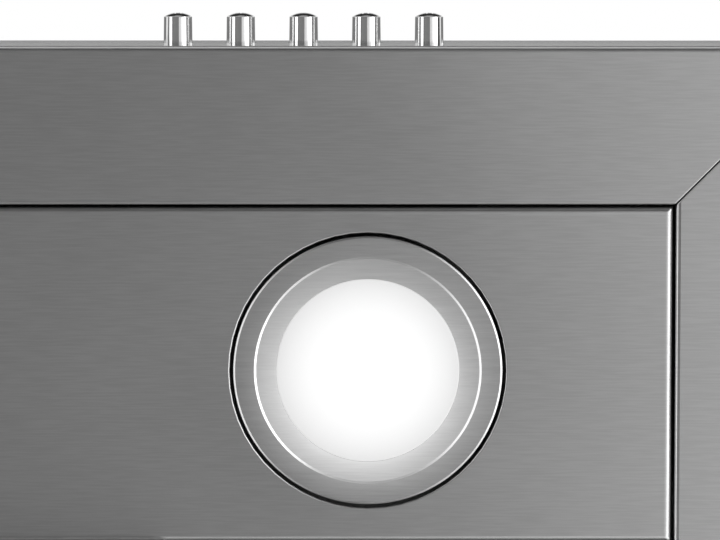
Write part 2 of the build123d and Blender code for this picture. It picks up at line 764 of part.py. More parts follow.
def make_flap(front, knuckle_place):
    """Half-round flap with one long knuckle on the pin."""
    direction = -1 if front else 1
    with BuildPart() as flap:
        with BuildSketch(Plane.XY.offset(damper_z - flap_sheet / 2)):
            with Locations((0, box_centre_y)):
                Circle(flap_radius)
                keep_side = (Align.CENTER, Align.MIN if front else Align.MAX)
                with Locations((0, direction * flap_edge)):
                    Rectangle(3 * flap_radius, 3 * flap_radius, align=keep_side, mode=Mode.SUBTRACT)
                with Locations((knuckle_place, 0)):
                    tongue = (Align.CENTER, Align.MAX if front else Align.MIN)
                    Rectangle(knuckle_length, flap_edge + 1, align=tongue)
        extrude(amount=flap_sheet)
        with BuildSketch(Plane.XY.offset(damper_z - knuckle_size / 2)):
            with Locations((knuckle_place, box_centre_y)):
                Rectangle(knuckle_length, knuckle_size)
        extrude(amount=knuckle_size)
        with Locations(Plane(origin=(0, box_centre_y, damper_z), z_dir=(1, 0, 0))):
            Cylinder(pin_radius + knuckle_clearance, 3 * flap_radius, mode=Mode.SUBTRACT)
    return flap


knuckle_end_gap = 1.0
knuckle_step = knuckle_length / 2 + knuckle_end_gap
write_piece(make_flap(True, -knuckle_step), "damper_flap_front")
write_piece(make_flap(False, knuckle_step), "damper_flap_back")

# Mains connection box on top of the blower box

junction_width = 34.0
junction_length = 84.0
junction_height = 36.0
junction_wall = 1.8
junction_edge = 4.0  # box's side to the junction box
junction_x = box_width / 2 - junction_edge - junction_width / 2
junction_y = box_centre_y
entry_radius = 5.0  # hole for the mains cable
entry_height = 19.0
entry_z = box_top + entry_height
junction_back_y = junction_y + junction_length / 2
with BuildPart() as junction_box:
    with BuildSketch(Plane.XY.offset(box_top)):
        with Locations((junction_x, junction_y)):
            Rectangle(junction_width, junction_length)
    extrude(amount=junction_height - junction_wall)
    offset(amount=-junction_wall, openings=junction_box.faces().sort_by(Axis.Z)[-1])
    with BuildSketch(Plane(origin=(junction_x, junction_back_y, entry_z), x_dir=(1, 0, 0), z_dir=(0, -1, 0))):
        Circle(entry_radius)
    extrude(amount=2 * junction_wall, mode=Mode.SUBTRACT)
write_piece(junction_box, "junction_box")

with BuildPart() as junction_cover:
    with BuildSketch(Plane.XY.offset(box_top + junction_height - junction_wall)):
        with Locations((junction_x, junction_y)):
            Rectangle(junction_width, junction_length)
    extrude(amount=junction_wall)
write_piece(junction_cover, "junction_cover")

terminal_width = 20.0
terminal_length = 30.0
terminal_height = 14.0
terminal_pitch = 10.0
terminal_recess = 5.0
terminal_recess_depth = 4.0
terminal_y = junction_y - 18.0
terminal_floor = box_top + junction_wall
with BuildPart() as terminal_block:
    with BuildSketch(Plane.XY.offset(terminal_floor)):
        with Locations((junction_x, terminal_y)):
            Rectangle(terminal_width, terminal_length)
    extrude(amount=terminal_height)
    with BuildSketch(Plane.XY.offset(terminal_floor + terminal_height)):
        with Locations((junction_x, terminal_y)):
            with GridLocations(0, terminal_pitch, 1, 3):
                Rectangle(terminal_recess, terminal_recess)
    extrude(amount=-terminal_recess_depth, mode=Mode.SUBTRACT)
write_piece(terminal_block, "terminal_block")

# Wall bracket with two hooks for the slots in the blower box

bracket_width = bracket_screw_spacing + 2 * bracket_margin
hook_past_slot = 4.0
hook_reach = box_wall_gap + sheet + hook_past_slot
with BuildPart() as wall_bracket:
    with BuildSketch(Plane.XZ):
        Rectangle(bracket_width, bracket_height)
        with GridLocations(bracket_screw_spacing, 0, 2, 1):
            Circle(bracket_hole_radius, mode=Mode.SUBTRACT)
    extrude(amount=bracket_sheet)
    with BuildSketch(Plane.XY.offset(hook_arm_z - bracket_sheet)):
        with Locations((hook_x, 0), (-hook_x, 0)):
            Rectangle(hook_plate_width, hook_reach, align=(Align.CENTER, Align.MAX))
    extrude(amount=bracket_sheet)
    with BuildSketch(Plane.XY.offset(hook_arm_z)):
        with Locations((hook_x, -hook_reach), (-hook_x, -hook_reach)):
            Rectangle(hook_plate_width, bracket_sheet, align=(Align.CENTER, Align.MIN))
    extrude(amount=hook_tab)
write_piece(wall_bracket, "wall_bracket")

# Chimney: a fixed lower cover and a sliding upper cover, both U-shaped with returns at the wall

lower_bottom = canopy_top
lower_top = lower_bottom + chimney_length
upper_bottom = lower_top - chimney_overlap
upper_top = upper_bottom + chimney_length


def make_chimney(inset, bottom):
    """U-shaped cover with rounded front corners and returns that lie against the wall."""
    half = chimney_width / 2 - inset
    back = -inset * 2
    front = -chimney_depth + inset
    with BuildPart() as cover:
        with BuildSketch(Plane.XY.offset(bottom)):
            with BuildLine():
                Line((-half + chimney_return, back), (-half, back))
                FilletPolyline((-half, back), (-half, front), (half, front), (half, back), radius=chimney_bend)
                Line((half, back), (half - chimney_return, back))
                offset(amount=sheet, side=Side.LEFT, kind=Kind.INTERSECTION)
            make_face()
        extrude(amount=chimney_length)
    return cover


chimney_lower = make_chimney(0, lower_bottom)
write_piece(chimney_lower, "chimney_lower")

upper_inset = sheet + slide_gap
upper_half = chimney_width / 2 - upper_inset
louvre_count = 4
louvre_pitch = 12.0
louvre_height = 5.0
louvre_side = 73.0  # louvre's ends inside the cover's front and back
louvre_drop = 60.0  # middle of the louvres below the cover's top
upper_cover = make_chimney(upper_inset, upper_bottom)
with BuildPart() as chimney_upper:
    add(upper_cover.part)
    louvre_z = upper_top - louvre_drop
    with BuildSketch(Plane(origin=(0, -chimney_depth / 2, louvre_z), x_dir=(0, 1, 0), z_dir=(1, 0, 0))):
        with GridLocations(0, louvre_pitch, 1, louvre_count):
            Rectangle(chimney_depth - 2 * louvre_side, louvre_height)
    extrude(amount=chimney_width, both=True, mode=Mode.SUBTRACT)
write_piece(chimney_upper, "chimney_upper")

# Strap that fixes the upper cover's top to the wall
strap_depth = 34.0
strap_height = 30.0
strap_sheet = 1.5
strap_screw_spacing = 160.0
strap_hole_radius = 3.0
strap_drop = 6.0  # below the cover's top edge
strap_z = upper_top - strap_height / 2 - strap_drop
strap_outer = upper_half - sheet
strap_back = -2 * upper_inset - sheet
with BuildPart() as chimney_bracket:
    with BuildSketch(Plane.XY.offset(strap_z - strap_height / 2)):
        with BuildLine():
            Polyline(
                (-strap_outer, strap_back - strap_depth),
                (-strap_outer, strap_back),
                (strap_outer, strap_back),
                (strap_outer, strap_back - strap_depth),
            )
            offset(amount=strap_sheet, side=Side.RIGHT, kind=Kind.INTERSECTION)
        make_face()
    extrude(amount=strap_height)
    with BuildSketch(Plane(origin=(0, strap_back, strap_z), x_dir=(1, 0, 0), z_dir=(0, -1, 0))):
        with GridLocations(strap_screw_spacing, 0, 2, 1):
            Circle(strap_hole_radius)
    extrude(amount=strap_sheet, mode=Mode.SUBTRACT)
write_piece(chimney_bracket, "chimney_bracket")

# Feet that hold the lower cover, and the screws that show
foot_size = 12.0
foot_sheet = 1.5
foot_leg = 7.0
foot_width = 40.0
foot_from_front = 86.0
foot_y = foot_from_front - chimney_depth
foot_screw_height = 7.0
foot_screw_offset = 13.0
lower_inner = chimney_width / 2 - sheet
with BuildPart() as chimney_feet:
    for side in (-1, 1):
        inward = (Align.MAX if side > 0 else Align.MIN, Align.CENTER)
        with BuildSketch(Plane.XY.offset(canopy_top)):
            with Locations((side * lower_inner, foot_y)):
                Rectangle(foot_leg, foot_width, align=inward)
        extrude(amount=foot_sheet)
        with BuildSketch(Plane.XY.offset(canopy_top)):
            with Locations((side * lower_inner, foot_y)):
                Rectangle(foot_sheet, foot_width, align=inward)
        extrude(amount=foot_size)
write_piece(chimney_feet, "chimney_feet")

screw_head_radius = 3.2
screw_head_height = 1.8


def side_screw_plane(side, half, y, z):
    return Plane(origin=(side * half, y, z), x_dir=(0, 1, 0), z_dir=(side, 0, 0))


with BuildPart() as cover_screws:
    for side in (-1, 1):
        for y in (foot_y - foot_screw_offset, foot_y + foot_screw_offset):
            with BuildSketch(side_screw_plane(side, chimney_width / 2, y, canopy_top + foot_screw_height)):
                RegularPolygon(screw_head_radius, 6)
            extrude(amount=screw_head_height)
    with BuildSketch(Plane.XY.offset(box_top)):
        with Locations((0, box_centre_y)):
            with GridLocations(box_width - box_rim, box_depth - box_rim, 2, 2):
                RegularPolygon(screw_head_radius, 6)
    extrude(amount=screw_head_height)
write_piece(cover_screws, "cover_screws")

with BuildPart() as bracket_screws:
    for side in (-1, 1):
        with BuildSketch(side_screw_plane(side, upper_half, strap_back - strap_depth / 2, strap_z)):
            RegularPolygon(screw_head_radius, 6)
        extrude(amount=screw_head_height)
write_piece(bracket_screws, "bracket_screws")
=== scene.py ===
"""Looks of the t-shape wall hood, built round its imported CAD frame. Metres, +Z up, the front faces -Y."""
import json
import math

import bmesh
import bpy
from mathutils import Matrix, Vector


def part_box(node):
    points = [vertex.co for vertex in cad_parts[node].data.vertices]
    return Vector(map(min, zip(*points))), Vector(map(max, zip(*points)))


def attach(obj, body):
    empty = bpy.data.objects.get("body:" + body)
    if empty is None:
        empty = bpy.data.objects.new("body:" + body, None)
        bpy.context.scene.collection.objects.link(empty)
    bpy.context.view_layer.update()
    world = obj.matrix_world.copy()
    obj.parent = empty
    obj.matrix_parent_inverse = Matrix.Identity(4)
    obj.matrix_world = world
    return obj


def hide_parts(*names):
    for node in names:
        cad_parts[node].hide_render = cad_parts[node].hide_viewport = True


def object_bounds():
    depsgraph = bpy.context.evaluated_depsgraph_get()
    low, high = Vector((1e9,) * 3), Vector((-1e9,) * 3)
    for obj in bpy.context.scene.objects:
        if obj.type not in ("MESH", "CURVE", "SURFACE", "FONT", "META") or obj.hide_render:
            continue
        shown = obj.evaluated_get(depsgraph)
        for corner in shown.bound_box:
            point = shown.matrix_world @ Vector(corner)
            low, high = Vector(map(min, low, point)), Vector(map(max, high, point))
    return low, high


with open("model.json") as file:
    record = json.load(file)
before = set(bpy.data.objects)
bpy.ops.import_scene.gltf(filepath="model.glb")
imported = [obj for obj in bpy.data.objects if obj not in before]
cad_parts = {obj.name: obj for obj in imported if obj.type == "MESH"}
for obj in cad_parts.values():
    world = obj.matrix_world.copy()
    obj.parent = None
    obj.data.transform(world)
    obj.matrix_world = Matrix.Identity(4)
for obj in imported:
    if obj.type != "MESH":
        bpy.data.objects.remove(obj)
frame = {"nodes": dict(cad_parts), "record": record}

nodes = frame["nodes"]
cad_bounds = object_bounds()
slot_of = {name: node.material_slots[0].material.name.split(".")[0] for name, node in nodes.items()}
body_of = {n: b for b, names in frame["record"]["behaviour"]["bodies"].items() for n in names}
scene = bpy.context.scene
scene.view_settings.view_transform = "Standard"
mm = 0.001


def cad_low(name):
    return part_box(name)[0]


def middle_of(name):
    """Middle of a node's box, across and deep."""
    low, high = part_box(name)
    return (low.x + high.x) / 2, (low.y + high.y) / 2


# Node wiring


class Surface:
    """A Principled material and small helpers that wire its nodes."""

    def __init__(self, name, **values):
        self.material = bpy.data.materials.new(name)
        self.material.use_nodes = True
        self.tree = self.material.node_tree
        self.tree.nodes.clear()
        self.out = self.tree.nodes.new("ShaderNodeOutputMaterial")
        self.shader = self.tree.nodes.new("ShaderNodeBsdfPrincipled")
        self.tree.links.new(self.shader.outputs[0], self.out.inputs[0])
        self.place = self.add("ShaderNodeTexCoord").outputs["Object"]
        for socket, value in values.items():
            self.wire(value, self.shader.inputs[socket.replace("_", " ")])

    def wire(self, value, socket):
        if isinstance(value, bpy.types.NodeSocket):
            self.tree.links.new(value, socket)
        else:
            socket.default_value = value

    def add(self, kind, inputs=None, **settings):
        made = self.tree.nodes.new(kind)
        for key, value in settings.items():
            setattr(made, key, value)
        for key, value in (inputs or {}).items():
            self.wire(value, made.inputs[key])
        return made

    def noise(self, scale, detail=2.0, rough=0.55, shift=0.0):
        """Noise whose size along each axis is one over scale, in metres."""
        scale = scale if hasattr(scale, "__len__") else (scale, scale, scale)
        placing = {"Vector": self.place, "Scale": scale, "Location": (shift,) * 3}
        mapped = self.add("ShaderNodeMapping", placing)
        inputs = {"Vector": mapped.outputs[0], "Scale": 1.0, "Detail": detail, "Roughness": rough}
        return self.add("ShaderNodeTexNoise", inputs).outputs[0]

    def math(self, operation, a, b=0.0, clamp=False):
        return self.add("ShaderNodeMath", {0: a, 1: b}, operation=operation, use_clamp=clamp).outputs[0]

    def span(self, value, low, high, start=0.3, end=0.7, smooth=False):
        """value from start to end, carried to low to high."""
        inputs = {"Value": value, "From Min": start, "From Max": end, "To Min": low, "To Max": high}
        kind = "SMOOTHSTEP" if smooth else "LINEAR"
        return self.add("ShaderNodeMapRange", inputs, interpolation_type=kind).outputs[0]

    def grey(self, value):
        return self.add("ShaderNodeCombineColor", {0: value, 1: value, 2: value}).outputs[0]

    def bump(self, height, distance, strength=1.0, below=None):
        inputs = {"Height": height, "Distance": distance, "Strength": strength}
        if below is not None:
            inputs["Normal"] = below
        return self.add("ShaderNodeBump", inputs).outputs[0]

    def edges(self, radius, start=0.03, end=0.25):
        """1 on rounded-over edges, 0 on flats: where handling wears a finish."""
        soft = self.add("ShaderNodeBevel", {"Radius": radius}, samples=4).outputs[0]
        true = self.add("ShaderNodeNewGeometry").outputs["True Normal"]
        dot = self.add("ShaderNodeVectorMath", {0: soft, 1: true}, operation="DOT_PRODUCT").outputs["Value"]
        return self.span(self.math("SUBTRACT", 1.0, dot), 0.0, 1.0, start, end)

    def set(self, **values):
        for socket, value in values.items():
            self.wire(value, self.shader.inputs[socket.replace("_", " ")])
        return self.material


def rgb(value):
    return (value, value, value, 1.0)


# Materials


def brushed(name, colour, rough, scale_fine, scale_long, depth=2e-7, spread=0.045):
    """Brushed sheet: fine streaks, longer faint ones, clouds from handling, and bump along the streaks."""
    s = Surface(name, Metallic=1.0, Specular_Tint=rgb(0.5))
    fine = s.noise(scale_fine, detail=2.0, rough=0.5, shift=0.37)
    long = s.noise(scale_long, detail=2.0, shift=7.3)
    cloud = s.noise(9.0, detail=2.0, shift=2.1)
    faint = 0.2 * spread
    short_streaks = s.span(fine, -spread, spread, 0.36, 0.64)
    long_streaks = s.span(long, -faint, faint, 0.25, 0.75)
    streaks = s.math("ADD", short_streaks, long_streaks)
    tone = s.math("ADD", s.math("ADD", streaks, s.span(cloud, -0.012, 0.012)), 1.0)
    value = s.math("MULTIPLY", tone, colour)
    gloss = s.math("ADD", s.span(fine, rough - 0.005, rough + 0.005), s.span(cloud, -0.02, 0.02))
    glance = s.add("ShaderNodeLayerWeight", {"Blend": 0.5}).outputs["Facing"]
    gloss = s.math("MULTIPLY", gloss, s.span(glance, 1.0, 0.25, 0.80, 0.96))
    normal = s.bump(fine, depth, 1.0, s.bump(long, depth, 0.5))
    return s.set(Base_Color=s.grey(value), Roughness=gloss, Normal=normal)


grain_x = {"scale_fine": (110.0, 2300.0, 2300.0), "scale_long": (34.0, 900.0, 900.0)}
grain_xz = {"scale_fine": (110.0, 2300.0, 110.0), "scale_long": (34.0, 900.0, 34.0)}
grain_y = {"scale_fine": (1600.0, 80.0, 1600.0), "scale_long": (600.0, 26.0, 600.0)}
grain_z = {"scale_fine": (1500.0, 1500.0, 55.0), "scale_long": (500.0, 500.0, 16.0)}
steel_level = 0.52
steel_front = brushed("steel_front", steel_level, 0.30, **grain_x)
steel_side = brushed("steel_side", steel_level, 0.30, **grain_xz)
steel_tall = brushed("steel_tall", steel_level, 0.31, **grain_z)
steel_baffle = brushed("steel_baffle", 0.60, 0.27, **grain_y)


def zinc(name, colour=0.50):
    """Galvanised sheet: spangle, dull bloom, a little scratch."""
    s = Surface(name, Metallic=0.9)
    mapped = s.add("ShaderNodeMapping", {"Vector": s.place, "Scale": (140.0, 140.0, 140.0)}).outputs[0]
    warp = s.noise(60.0, detail=3.0)
    moved = s.add("ShaderNodeVectorMath", {0: mapped, 1: s.grey(warp)}, operation="ADD").outputs[0]
    cell = s.add("ShaderNodeTexVoronoi", {"Vector": moved, "Scale": 1.0}).outputs["Color"]
    flake = s.add("ShaderNodeSeparateColor", {0: cell}).outputs[0]
    bloom = s.noise(14.0, detail=4.0, shift=3.0)
    fine = s.noise(1500.0, detail=2.0)
    tone = s.math("ADD", s.span(flake, -0.10, 0.10, 0.0, 1.0), s.span(bloom, -0.06, 0.06))
    value = s.math("MULTIPLY", s.math("ADD", tone, 1.0), colour)
    value = s.math("ADD", value, s.math("MULTIPLY", s.edges(0.0006), 0.12))
    gloss = s.math("ADD", s.span(flake, 0.34, 0.48, 0.0, 1.0), s.span(bloom, -0.03, 0.05))
    normal = s.bump(flake, 2e-6, 0.4, s.bump(fine, 3e-6, 0.6))
    return s.set(Base_Color=s.grey(value), Roughness=gloss, Normal=normal)


zinc_sheet = zinc("zinc_sheet")


def polished(name, colour, rough, scratch=0.06, detail_scale=900.0):
    """Bright metal with hairline scratches and finger haze."""
    s = Surface(name, Metallic=1.0)
    hair = s.noise((detail_scale, detail_scale, detail_scale * 0.08), detail=3.0)
    haze = s.noise(120.0, detail=3.0, shift=5.0)
    value = s.math("MULTIPLY", s.math("ADD", s.span(hair, -scratch, scratch), 1.0), colour)
    gloss = s.math("ADD", s.span(haze, rough, rough + 0.06), s.span(hair, 0.0, 0.03))
    return s.set(Base_Color=s.grey(value), Roughness=gloss, Normal=s.bump(hair, 1e-6, 0.5))


chrome = polished("chrome", 0.80, 0.03, scratch=0.03)
# painted reflection: the button tips get a darker chrome that stands in for the dark room bright chrome would
# mirror there
chrome_painted_dark_reflection = polished("chrome_painted_dark_reflection", 0.34, 0.05, scratch=0.03)
bright_steel = polished("bright_steel", 0.62, 0.20)
lamp_can = polished("lamp_can", 0.58, 0.34, scratch=0.05, detail_scale=1400.0)
wheel_sheet = zinc("wheel_sheet", 0.46)
spring_steel = polished("spring_steel", 0.10, 0.42)


def moulded(name, colour, rough, grain=1800.0, depth=6e-6, wear=0.10, metallic=0.0):
    """Moulded or painted: fine erosion texture, slow tone change, pale rubbed edges."""
    s = Surface(name, Metallic=metallic)
    fine = s.noise(grain, detail=3.0)
    slow = s.noise(22.0, detail=3.0, shift=4.0)
    value = s.math("MULTIPLY", s.math("ADD", s.span(slow, -0.10, 0.10), 1.0), colour)
    value = s.math("ADD", value, s.math("MULTIPLY", s.edges(0.0005), wear))
    gloss = s.math("ADD", s.span(slow, rough - 0.05, rough + 0.05), s.span(fine, -0.04, 0.04))
    return s.set(Base_Color=s.grey(value), Roughness=gloss, Normal=s.bump(fine, depth, 0.8))


plastic_dark = moulded("plastic_dark", 0.035, 0.48, wear=0.05)
plastic_white = moulded("plastic_white", 0.72, 0.45, wear=0.05)
rubber_black = moulded("rubber_black", 0.022, 0.78, grain=900.0, depth=1.5e-5, wear=0.02)
magnet_black = moulded("magnet_black", 0.040, 0.62, grain=700.0, depth=1.2e-5, wear=0.06)
motor_paint = moulded("motor_paint", 0.20, 0.38, grain=420.0, depth=1.4e-5, wear=0.22, metallic=0.35)

lamp_x, lamp_y = middle_of("lamp_lens_right")


def glow(name, sheet, start, end, low, high, radius_power=1.0, painted_lean=0.0):
    """A lamp surface whose own light goes from high to low between two radii, in mm, on both lamps. On the
    lens that light is the lamp's own; on the metal dish and bezel it is a painted glow.

    painted_lean makes it stronger towards the wall by that share, and weaker towards the front: painted
    light, brighter on one side.
    """
    s = Surface(name, **sheet)
    split = s.add("ShaderNodeSeparateXYZ", {0: s.place})
    side = s.math("SUBTRACT", s.math("ABSOLUTE", split.outputs[0]), lamp_x)
    depth = s.math("SUBTRACT", split.outputs[1], lamp_y)
    flat = s.add("ShaderNodeCombineXYZ", {0: side, 1: depth})
    radius = s.add("ShaderNodeVectorMath", {0: flat.outputs[0]}, operation="LENGTH").outputs["Value"]
    shade = s.span(radius, 0.0, 1.0, start * mm, end * mm)
    shade = s.math("POWER", shade, radius_power)
    light = s.span(shade, high, low, 0.0, 1.0)
    # painted light: the glow is leaned towards the wall side and away from the front
    if painted_lean:
        part = s.math("ADD", s.math("MULTIPLY", s.math("DIVIDE", depth, radius), painted_lean), 1.0)
        light = s.math("MULTIPLY", light, part)
    s.set(Emission_Color=rgb(1.0), Emission_Strength=light)
    return s


def lens_surface():
    s = glow("lens_lit", {"Roughness": 0.32}, 9.0, 23.8, 0.17, 0.42, 2.0)
    fine = s.noise(900.0, detail=2.0)
    return s.set(Base_Color=s.grey(s.span(fine, 0.84, 0.88)), Normal=s.bump(fine, 4e-6, 0.5))


def dish_surface():
    # painted glow: the metal dish gets its own light, strongest at the lens edge and on the wall side, in
    # place of the lens light falling on it
    s = glow("lamp_dish_painted_glow", {"Metallic": 1.0}, 23.8, 28.6, 0.17, 0.34, 0.7, 0.55)
    fine = s.noise((85.0, 2600.0, 2600.0), detail=3.0)
    colour, gloss = s.grey(s.span(fine, 0.54, 0.60)), s.span(fine, 0.30, 0.38)
    return s.set(Base_Color=colour, Roughness=gloss, Normal=s.bump(fine, 3e-6))


def bezel_surface():
    sheet = {"Metallic": 1.0, "Specular Tint": rgb(0.5)}
    # painted glow: the brushed steel bezel gets a faint own light next to the dish, leaned towards the wall
    s = glow("steel_bezel_painted_glow", sheet, 29.5, 34.5, 0.0, 0.075, 0.7, 0.75)
    fine = s.noise(grain_x["scale_fine"], detail=4.0, rough=0.65)
    colour, gloss = s.grey(s.span(fine, 0.50, 0.58)), s.span(fine, 0.30, 0.34)
    return s.set(Base_Color=colour, Roughness=gloss, Normal=s.bump(fine, 2e-7))


lens_lit = lens_surface()
lamp_dish_painted_glow = dish_surface()
steel_bezel_painted_glow = bezel_surface()

by_slot = {
    "brushed_steel": steel_front,
    "filter_steel": steel_baffle,
    "zinc_steel": zinc_sheet,
    "button_chrome": chrome,
    "bright_steel": bright_steel,
    "lamp_metal": lamp_can,
    "lamp_lens": lens_lit,
    "wheel_metal": wheel_sheet,
    "motor_paint": motor_paint,
    "magnet_black": magnet_black,
    "plastic_dark": plastic_dark,
    "plastic_white": plastic_white,
    "rubber_black": rubber_black,
}
by_node = {
    "canopy_left": steel_side,
    "canopy_right": steel_side,
    "chimney_lower": steel_tall,
    "chimney_upper": steel_tall,
}


def finish_of(name):
    return by_node.get(name, by_slot[slot_of[name]])


for name, node in nodes.items():
    for index in range(len(node.material_slots)):
        node.material_slots[index].material = finish_of(name)


# Mesh building

replaced = set()


def new_piece(name, bm, materials, body, slot, stands_for=()):
    """A piece from bm that rides on a body. stands_for are the CAD nodes that it replaces."""
    mesh = bpy.data.meshes.new(name)
    bm.normal_update()
    bm.to_mesh(mesh)
    bm.free()
    for material in materials:
        mesh.materials.append(material)
    piece = bpy.data.objects.new(name, mesh)
    scene.collection.objects.link(piece)
    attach(piece, body)
    if stands_for:
        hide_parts(*stands_for)
        replaced.update(stands_for)
    return piece


def weigh(piece):
    """Normals that follow the large faces, so that flats stay flat up to their rounded edges."""
    modifier = piece.modifiers.new("weighted", "WEIGHTED_NORMAL")
    modifier.weight = 60
    modifier.keep_sharp = True


def soften(name, width, segments=2, shape=None, crisp=None, wide=None):
    """A copy of a CAD node with its sharp edges rounded over by width, in mm, which stands for that node.

    shape changes the copy first. crisp picks edges that stay sharp. wide is a pick and the larger width
    that its edges get.
    """
    bm = bmesh.new()
    bm.from_mesh(nodes[name].data)
    bmesh.ops.remove_doubles(bm, verts=bm.verts, dist=1e-6)
    if shape:
        shape(bm)
    bmesh.ops.dissolve_limit(bm, angle_limit=math.radians(0.2), verts=bm.verts, edges=bm.edges)

    def sharp_edges():
        return [e for e in bm.edges if len(e.link_faces) == 2 and e.calc_face_angle() > math.radians(28.0)]

    def round_over(edges, width, segments):
        bmesh.ops.bevel(
            bm, geom=edges, offset=width * mm, offset_type="OFFSET", segments=segments,
            profile=0.5, affect="EDGES", clamp_overlap=False,
        )

    if wide:
        round_over([e for e in sharp_edges() if wide[0](e)], wide[1], 4)
    sharp = sharp_edges()
    kept = [e for e in sharp if crisp and crisp(e)]
    for edge in kept:
        edge.smooth = False
    round_over([e for e in sharp if e not in kept], width, segments)
    for face in bm.faces:
        face.smooth = True
    weigh(new_piece(f"{name}_soft", bm, [finish_of(name)], body_of[name], slot_of[name], (name,)))


def rounded(corners, steps=6):
    """Profile points and normals, from corners (r, h, fillet radius). Normals lie left of the travel."""
    points = []
    for index, (r, h, fillet) in enumerate(corners):
        here = Vector((r, h))
        before = Vector(corners[index - 1][:2]) if index else None
        after = Vector(corners[index + 1][:2]) if index + 1 < len(corners) else None
        into = (here - before).normalized() if before is not None else (after - here).normalized()
        out = (after - here).normalized() if after is not None else into
        turn = into.angle_signed(out) if into.dot(out) < 0.99999 else 0.0
        if fillet <= 0 or abs(turn) < 1e-4:
            for direction in ([into] if abs(turn) < 1e-4 else [into, out]):
                points.append((here, Vector((-direction.y, direction.x))))
            continue
        reach = fillet * math.tan(abs(turn) / 2)
        for step in range(steps + 1):
            share = step / steps
            part = share * turn
            direction = Vector(into)
            direction.rotate(Matrix.Rotation(-part, 2))
            start = here - into * reach
            half = abs(part) / 2
            chord = 2 * fillet * math.sin(half)
            middle = Vector(into)
            middle.rotate(Matrix.Rotation(-part / 2, 2))
            points.append((start + middle * chord, Vector((-direction.y, direction.x))))
    return points


def lathe(
    name, corners, centre, axes, segments, materials, body, slot,
    stands_for=(), zone=None, steps=6, exact=True,
):
    """A turned piece. axes are the directions of r at 0 degrees, r at 90 degrees, and h.

    zone gives the material of the band that starts at a profile point. exact keeps the profile's own normals.
    """
    across, up, along = (Vector(a) for a in axes)
    centre = Vector(centre)
    points = rounded(corners, steps)
    bm = bmesh.new()
    rings = []
    for place, normal in points:
        ring = []
        for k in range(1 if place.x < 1e-9 else segments):
            angle = 2 * math.pi * k / segments
            radial = across * math.cos(angle) + up * math.sin(angle)
            vert = bm.verts.new(centre + (radial * place.x + along * place.y) * mm)
            ring.append((vert, (radial * normal.x + along * normal.y).normalized()))
        rings.append(ring)
    aim = {}
    for low, high, (place, _) in zip(rings, rings[1:], points):
        if len(low) == len(high) == 1:
            continue
        for k in range(segments):
            n = (k + 1) % segments
            corner = [low[k % len(low)], low[n % len(low)], high[n % len(high)], high[k % len(high)]]
            unique = []
            for c in corner:
                if c not in unique:
                    unique.append(c)
            if len({c[0].co.to_tuple(9) for c in unique}) < 3:
                continue
            face = bm.faces.new([c[0] for c in unique])
            face.smooth = True
            face.material_index = zone(place) if zone else 0
            aim[face] = dict(unique)
    for face in bm.faces:
        face.normal_update()
        if face.normal.dot(next(iter(aim[face].values()))) < 0:
            face.normal_flip()
    turned = [tuple(aim[face][loop.vert]) for face in bm.faces for loop in face.loops]
    piece = new_piece(name, bm, materials, body, slot, stands_for)
    if exact:
        piece.data.normals_split_custom_set(turned)
    return piece


def slab(bm, low, high, edge=0.25):
    """A rounded block between two corners, in mm, added to bm."""
    low, high = Vector(low), Vector(high)
    made = bmesh.ops.create_cube(bm, size=1.0)["verts"]
    for vert in made:
        vert.co = Vector([(low[i] + high[i]) / 2 + vert.co[i] * (high[i] - low[i]) for i in range(3)]) * mm
    edges = list({e for v in made for e in v.link_edges})
    bmesh.ops.bevel(
        bm, geom=edges, offset=edge * mm, offset_type="OFFSET", segments=3, profile=0.5, affect="EDGES",
    )


def strip(bm, path, width, thickness, across, edge=0.2):
    """A bent strip with cut corners along path, in mm. across is the direction of its width."""
    across = Vector(across)
    path = [Vector(p) for p in path]
    half = width / 2
    outline = [
        (-half, 0), (-half + edge, -edge), (half - edge, -edge), (half, 0), (half, thickness - 2 * edge),
        (half - edge, thickness - edge), (-half + edge, thickness - edge), (-half, thickness - 2 * edge),
    ]
    rings = []
    for index, point in enumerate(path):
        before = path[max(index - 1, 0)]
        after = path[min(index + 1, len(path) - 1)]
        along = (after - before).normalized()
        out = along.cross(across).normalized()
        if 0 < index < len(path) - 1:
            turn = (point - before).normalized().dot((after - point).normalized())
            stretch = 1 / math.sqrt(max((1 + turn) / 2, 0.2))
        else:
            stretch = 1.0
        corners = [point + across * a + out * (b + edge) * stretch for a, b in outline]
        rings.append([bm.verts.new(corner * mm) for corner in corners])
    for low, high in zip(rings, rings[1:]):
        for k in range(len(outline)):
            n = (k + 1) % len(outline)
            bm.faces.new([low[k], low[n], high[n], high[k]])
    bm.faces.new(list(reversed(rings[0])))
    bm.faces.new(rings[-1])


def bend_path(corners, radius, steps=6):
    """Polyline through corners (points in mm) with each inner corner rounded to the radius."""
    corners = [Vector(c) for c in corners]
    path = [corners[0]]
    for before, here, after in zip(corners, corners[1:], corners[2:]):
        into, out = (before - here).normalized(), (after - here).normalized()
        half = into.angle(out) / 2
        reach = radius / math.tan(half)
        middle = here + (into + out).normalized() * (radius / math.sin(half))
        start, end = here + into * reach - middle, here + out * reach - middle
        for step in range(steps + 1):
            path.append(middle + start.slerp(end, step / steps).normalized() * radius)
    path.append(corners[-1])
    return path


def close_up(bm):
    """Outward normals and smooth faces."""
    bmesh.ops.recalc_face_normals(bm, faces=bm.faces)
    for face in bm.faces:
        face.smooth = True


# Sheet metal of the hood, in mm where no unit is said

underside_z = cad_low("canopy_front").z
front_y = cad_low("canopy_front").y
side_x = cad_bounds[1].x
border_width = (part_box("canopy_front")[1].y - front_y) / mm
bend_outer, sheet_thickness, lip_shift = 2.0, 1.0, 0.22
inner_share = 0.2
on_arc, slack = 0.05, 0.01


